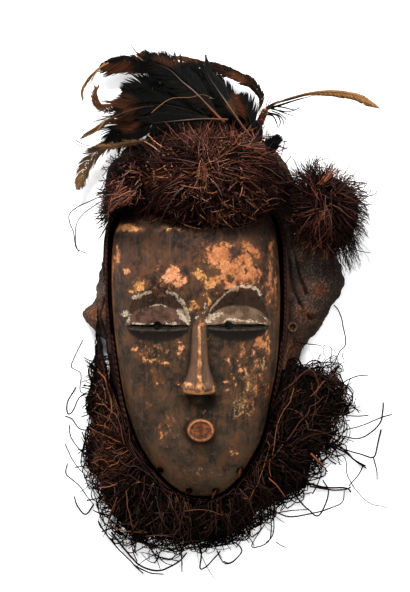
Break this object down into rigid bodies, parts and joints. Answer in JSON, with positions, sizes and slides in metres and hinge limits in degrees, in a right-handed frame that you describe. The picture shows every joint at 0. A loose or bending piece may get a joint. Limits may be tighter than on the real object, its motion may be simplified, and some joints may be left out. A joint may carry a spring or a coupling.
{
  "type": "kete mask",
  "caption": "Carved wooden face mask with sunk eyes and a boss mouth, in a woven hood, with raffia hair tufts, a raffia beard and a crest of feathers.",
  "frame": {"origin": "under the middle of the bounding box, on the surface that the mask lies on", "axes": "+Z out of the face, +Y towards the crown, +X to the viewer's right when looking at the face"},
  "size_m": [0.34, 0.5788, 0.1206],
  "materials": {
    "carved_wood": "dark hand-worn patina over bare orange wood, with traces of white and pink pigment",
    "hood_weave": "dark brown woven raffia cloth, matt",
    "beard_raffia": "twisted raffia fibre, near black brown",
    "tuft_raffia": "cut raffia fibre, dark reddish brown",
    "feather_black": "black feather with a faint sheen",
    "feather_brown": "brown feather",
    "feather_tan": "tan feather"
  },
  "bodies": {
    "root": {"face_carving": "carved_wood", "hood_cloth": "hood_weave", "beard": "beard_raffia", "rim_cord": "beard_raffia", "forehead_tuft": "tuft_raffia", "left_tuft": "tuft_raffia", "right_pompom": "tuft_raffia", "ear_ring": "beard_raffia", "feather_binding": "tuft_raffia", "feather_arched_back": "feather_brown", "feather_back_fan_right": "feather_black", "feather_long_right": "feather_tan", "feather_far_left_hook": "feather_brown", "feather_back_fan_middle": "feather_black", "feather_left_curl": "feather_brown", "feather_short_right": "feather_black", "feather_drooping_left": "feather_tan", "feather_dark_left": "feather_brown", "feather_front_fan_low": "feather_black", "feather_middle_fan": "feather_black", "feather_front_fan_middle": "feather_black", "feather_downy_middle": "feather_brown", "feather_tan_left": "feather_tan", "feather_upper_fan": "feather_black", "feather_main_left": "feather_black", "feather_crossing_strands": "feather_black", "feather_upright": "feather_black", "feather_level": "feather_black"}
  },
  "joints": []
}
